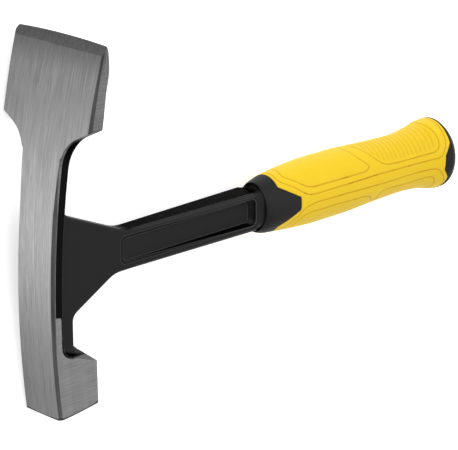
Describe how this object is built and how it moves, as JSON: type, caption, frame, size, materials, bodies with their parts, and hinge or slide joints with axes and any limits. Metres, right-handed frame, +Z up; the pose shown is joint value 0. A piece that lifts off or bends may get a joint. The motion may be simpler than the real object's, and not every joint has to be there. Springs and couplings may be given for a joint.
{
  "type": "brick hammer",
  "caption": "One-piece forged brick hammer with a square striking face, a wide chisel blade and a two-tone moulded grip.",
  "frame": {"origin": "bottom centre of the hammer's box as it lies on its side: it rests on the heel of the blade, a corner of the striking face and the butt", "axes": "+X along the handle from the head to the butt, +Y along the head towards the chisel blade, +Z up from the bench"},
  "size_m": [0.2806, 0.1798, 0.0643],
  "materials": {
    "forged_steel": "brushed bare steel on the crown, blade and poll; satin black lacquer on the web and the shank",
    "grip_core": "matt black, moulded",
    "grip_sleeve": "matt yellow, moulded, fine grain"
  },
  "bodies": {
    "root": {"forged_hammer": "forged_steel", "grip_core": "grip_core", "grip_sleeve": "grip_sleeve"}
  },
  "joints": []
}
